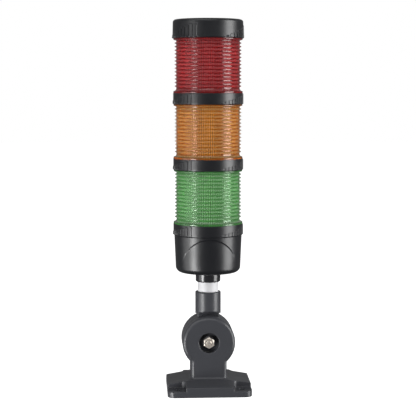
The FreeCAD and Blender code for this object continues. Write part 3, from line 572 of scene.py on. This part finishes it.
def diffuser(colour):
    """Inner tube with softened rims."""
    node = colour + "_diffuser"
    low, high = (corner.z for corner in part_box(node))
    outside, tall = wide_radius(node) / MM, (high - low) / MM
    bore = outside - TUBE_WALL_MM
    profile = soft_path([(bore, 2), (bore, 0), (outside, 0), (outside, tall), (bore, tall), (bore, 2.2)],
                        0.3, 4)
    piece = turned(colour + "_diffuser_skin", profile, node, even_angles(120), low)
    piece.visible_shadow = False


# Wiring housing

HOUSING_R_MM = (32.6, 34.2)
NECK_BORE_MM = 12.7
ARCH_R_MM = 27.0
ARCH_RISE_MM = 9.3
ARCH_LEDGE_MM = 0.9
FACET_R_MM = 33.5
FACET_SHIFT_MM = 0.5
FLOOR_MM = 3.0
FOOT_MM = 7.0
FOOT_DRAFT_MM = 0.31
ROOM_R_MM = 29.8
SKIN_R_MM = 31.5


def housing():
    """Housing: drafted wall with a rounded foot, an arched flat on the front, and a collar on top."""
    node = "base_housing"
    base = low_z(node)
    tall = (low_z("green_lock_ring") - base) / MM
    low_r, high_r = HOUSING_R_MM
    foot = soft_path([(NECK_BORE_MM, 1), (NECK_BORE_MM, 0), (low_r, 0), (low_r + FOOT_DRAFT_MM, FOOT_MM)],
                     [0.2, 6.0], 15)
    wall = wall_rows(FOOT_MM + 0.3, tall - 0.5, low_r + FOOT_DRAFT_MM + 0.02, high_r - 0.02, 0.25)
    head = soft_path([(high_r, tall - 0.4), (high_r, tall), *collar(tall, ROOM_R_MM),
                      (ROOM_R_MM, FLOOR_MM), (NECK_BORE_MM, FLOOR_MM), (NECK_BORE_MM, 1.2)],
                     [0.3, *COLLAR_ROUNDING_MM, 0.4, 0.2])
    front_degrees = np.arange(-66, 66, 0.5)
    back_degrees = np.arange(66, 294, 2.4)
    angles = np.radians(np.concatenate([front_degrees, back_degrees]))

    def flat(turn, radius, height):
        """Radius lost to the flat: inside the arch the wall drops to a slightly smaller upright cylinder,
        r = s cos t + sqrt(R^2 - s^2 sin^2 t) with its axis s behind the tower's."""
        shift, facet = -FACET_SHIFT_MM * MM, FACET_R_MM * MM
        smaller = shift * np.cos(turn) + np.sqrt(facet ** 2 - (shift * np.sin(turn)) ** 2)
        reach = np.hypot(radius * np.sin(turn), height - ARCH_RISE_MM * MM)
        inside = ramp((ARCH_R_MM * MM - reach) / (ARCH_LEDGE_MM * MM)) * (np.cos(turn) > 0)
        drop = np.minimum(smaller - radius, 0) * inside
        return drop * (radius > SKIN_R_MM * MM)

    turned("housing_skin", np.vstack([foot, wall, head]), node, angles, base, flat)


# Pivot fasteners

HEX_FLATS_MM = 10.0


def hex_radius(turn):
    """Radius of a hexagon with a corner on top: half the flats over the cosine of the turn from a flat."""
    off = np.mod(turn, math.pi / 3) - math.pi / 6
    return HEX_FLATS_MM / 2 * MM / np.cos(off)


def hexagonal(name, node, stations_mm, inner_mm):
    """Fastener along Y, from the front of its node. stations are (distance along, cone radius): each ring is
    the hexagon held inside a cone of that radius, which gives the curved chamfers, and a cone inside the
    hexagon gives a round shank. inner_mm is the bore's radius."""
    turn = even_angles(180)[None, :]
    stations = np.array(stations_mm) * MM
    along, cone = stations[:, :1], stations[:, 1:]
    inner = np.full_like(turn, inner_mm * MM)
    radius = np.vstack([inner, np.minimum(hex_radius(turn), cone), inner])
    depth = np.vstack([along[:1], along, along[-1:]])
    x = radius * np.sin(turn)
    y = np.broadcast_to(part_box(node)[0].y + depth, x.shape)
    z = PIVOT_Z + radius * np.cos(turn)
    points = np.stack([x, y, z], -1).reshape(-1, 3)
    add_piece(name, points, grid_faces(len(radius), turn.size, True), node, sharp_angle=25)


def length_mm(node):
    """Length of a node along Y."""
    low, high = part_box(node)
    return (high.y - low.y) / MM


THREAD_HOLE_R_MM = 3.05


def nut():
    """M6 nut, chamfered both ends."""
    tall = length_mm("pivot_nut")
    cone = [(0, 4.75), (0.25, 5.2), (0.55, 5.8), (tall - 0.55, 5.8), (tall - 0.25, 5.2), (tall, 4.75)]
    hexagonal("nut_skin", "pivot_nut", cone, THREAD_HOLE_R_MM)


BOLT_HEAD_MM = 4.0
BOLT_PINHOLE_R_MM = 0.4
THREAD_R_MM = (2.5, 2.95)
THREAD_FOOT_MM = 0.75
THREAD_STEPS = 40
THREAD_STEP_MM = 0.25
SHANK_R_MM = 2.97


def bolt():
    """M6 bolt: thread with a 1 mm pitch in the nut and a turned shank, chamfered end, hexagonal head."""
    tall = length_mm("pivot_bolt")
    neck = tall - BOLT_HEAD_MM
    root, crest = THREAD_R_MM
    tip = [(0.0, 1.9), (0.12, 2.3), (THREAD_FOOT_MM, crest)]
    threads = [(THREAD_FOOT_MM + THREAD_STEP_MM * step, crest if step % 4 < 2 else root)
               for step in range(1, THREAD_STEPS)]
    shank = [(THREAD_FOOT_MM + THREAD_STEP_MM * THREAD_STEPS, SHANK_R_MM), (neck, SHANK_R_MM)]
    head = [(neck, 4.75), (neck + 0.25, 5.2), (neck + 0.5, 5.8), (tall - 0.5, 5.8), (tall - 0.25, 5.2),
            (tall, 4.7)]
    hexagonal("bolt_skin", "pivot_bolt", tip + threads + shank + head, BOLT_PINHOLE_R_MM)


# Studio

FLOOR_SIDE = 12.0


def soft_box(name, azimuth, height, distance, size, radiance, aim_height):
    """Soft box that stands upright, or leans towards a height on the axis: power = pi x area x radiance."""
    lamp = bpy.data.lights.new(name, "AREA")
    lamp.shape = "RECTANGLE"
    lamp.size, lamp.size_y = size
    lamp.energy = math.pi * size[0] * size[1] * radiance
    box = bpy.data.objects.new(name, lamp)
    turn = math.radians(azimuth)
    box.location = (distance * math.sin(turn), -distance * math.cos(turn), height)
    aim = box.location.copy()
    aim.z = 0.0 if aim_height is None else height - aim_height
    box.rotation_mode = "QUATERNION"
    box.rotation_quaternion = aim.to_track_quat("Z", "Y")
    box.visible_transmission = False
    bpy.context.scene.collection.objects.link(box)


# Radiance of what surrounds the tower: a white backdrop, seen directly and through the lenses, in a room
# that is dark in front, and lighter overhead and behind
BACKDROP = 1.0
BEHIND_GLASS = 4.4
ROOM_FRONT = 0.02
CEILING = 0.25
ROOM_BACK = 0.12


# Name, azimuth, height, distance, size, radiance and lean of each soft box
SOFT_BOXES = (
    ("high_panel", -25, 1.4, 1.2, (2.6, 0.6), 2.2, 0.2),
    ("left_low_box", -54, -0.35, 1.5, (0.46, 0.8), 17.0, None),
    ("left_high_box", -54, 0.45, 1.5, (0.42, 0.8), 1.6, None),
    ("left_wing", -80, -0.25, 1.5, (0.8, 1.0), 2.0, None),
    ("right_box", 71, 0.35, 1.5, (0.85, 1.6), 6.5, None),
)


def room():
    """World: the room's level by direction, replaced where the ray comes from the camera or a lens."""
    world = bpy.data.worlds.new("studio")
    bpy.context.scene.world = world
    world.use_nodes = True
    tree = world.node_tree
    tree.nodes.clear()
    out = add(tree, "OutputWorld")
    path = add(tree, "LightPath")
    direction = add(tree, "SeparateXYZ", None, {"Vector": add(tree, "TexCoord").outputs["Generated"]})
    high = add(tree, "MapRange", None,
               {"Value": direction.outputs["Z"], "From Min": 0.0, "To Min": ROOM_FRONT, "To Max": CEILING})
    behind = add(tree, "MapRange", None,
                 {"Value": direction.outputs["Y"], "From Min": -0.2, "To Min": 0.0, "To Max": ROOM_BACK})
    walls = add(tree, "Math", {"operation": "ADD"},
                {0: high.outputs["Result"], 1: behind.outputs["Result"]})
    glass = add(tree, "MapRange", None,
                {"Value": path.outputs["Is Transmission Ray"], "To Min": walls.outputs["Value"],
                 "To Max": BEHIND_GLASS})
    level = add(tree, "MapRange", None,
                {"Value": path.outputs["Is Camera Ray"], "To Min": glass.outputs["Result"],
                 "To Max": BACKDROP})
    back = add(tree, "Background", None, {"Color": linear(WHITE), "Strength": level.outputs["Result"]})
    tree.links.new(back.outputs["Background"], out.inputs["Surface"])


def pale_floor():
    """Large white floor that glows as brightly as the backdrop, so that no shadow or edge shows on it."""
    mesh = bpy.data.meshes.new("floor")
    half = FLOOR_SIDE / 2
    corners = [(-half, -half, 0), (half, -half, 0), (half, half, 0), (-half, half, 0)]
    mesh.from_pydata(corners, [], [(0, 1, 2, 3)])
    floor = bpy.data.objects.new("floor", mesh)
    bpy.context.scene.collection.objects.link(floor)
    material, tree, out = new_material("white_floor")
    shader = add(tree, "BsdfPrincipled", None,
                 {"Base Color": linear("#cbcbcb"), "Roughness": 0.9, "Specular IOR Level": 0.0,
                  "Emission Color": linear(WHITE), "Emission Strength": 1.0})
    tree.links.new(shader.outputs["BSDF"], out.inputs["Surface"])
    mesh.materials.append(material)
    floor.visible_glossy = False
    floor.visible_diffuse = False
    floor.visible_shadow = False


def camera():
    """Camera a little left of the front and slightly above, looking at the tower's axis."""
    distance, height, left, down = 1.2727, 0.3053, math.radians(3.3), math.radians(5.354)
    lens_data = bpy.data.cameras.new("camera")
    lens_data.lens = 108.95
    lens_data.sensor_width = 36
    eye = bpy.data.objects.new("camera", lens_data)
    eye.location = (-distance * math.sin(left), -distance * math.cos(left), height)
    eye.rotation_euler = (math.pi / 2 - down, 0, -left)
    bpy.context.scene.collection.objects.link(eye)
    bpy.context.scene.camera = eye


dress_cad_nodes()
for colour in COLOURS:
    lock_ring(colour)
    lens(colour)
    diffuser(colour)
cap()
housing()
nut()
bolt()
room()
for row in SOFT_BOXES:
    soft_box(*row)
pale_floor()
camera()
scene = bpy.context.scene
scene.view_settings.view_transform = "Standard"
scene.cycles.caustics_refractive = False
scene.cycles.caustics_reflective = False
scene.cycles.max_bounces = 16
scene.cycles.transmission_bounces = 16
scene.cycles.transparent_max_bounces = 16
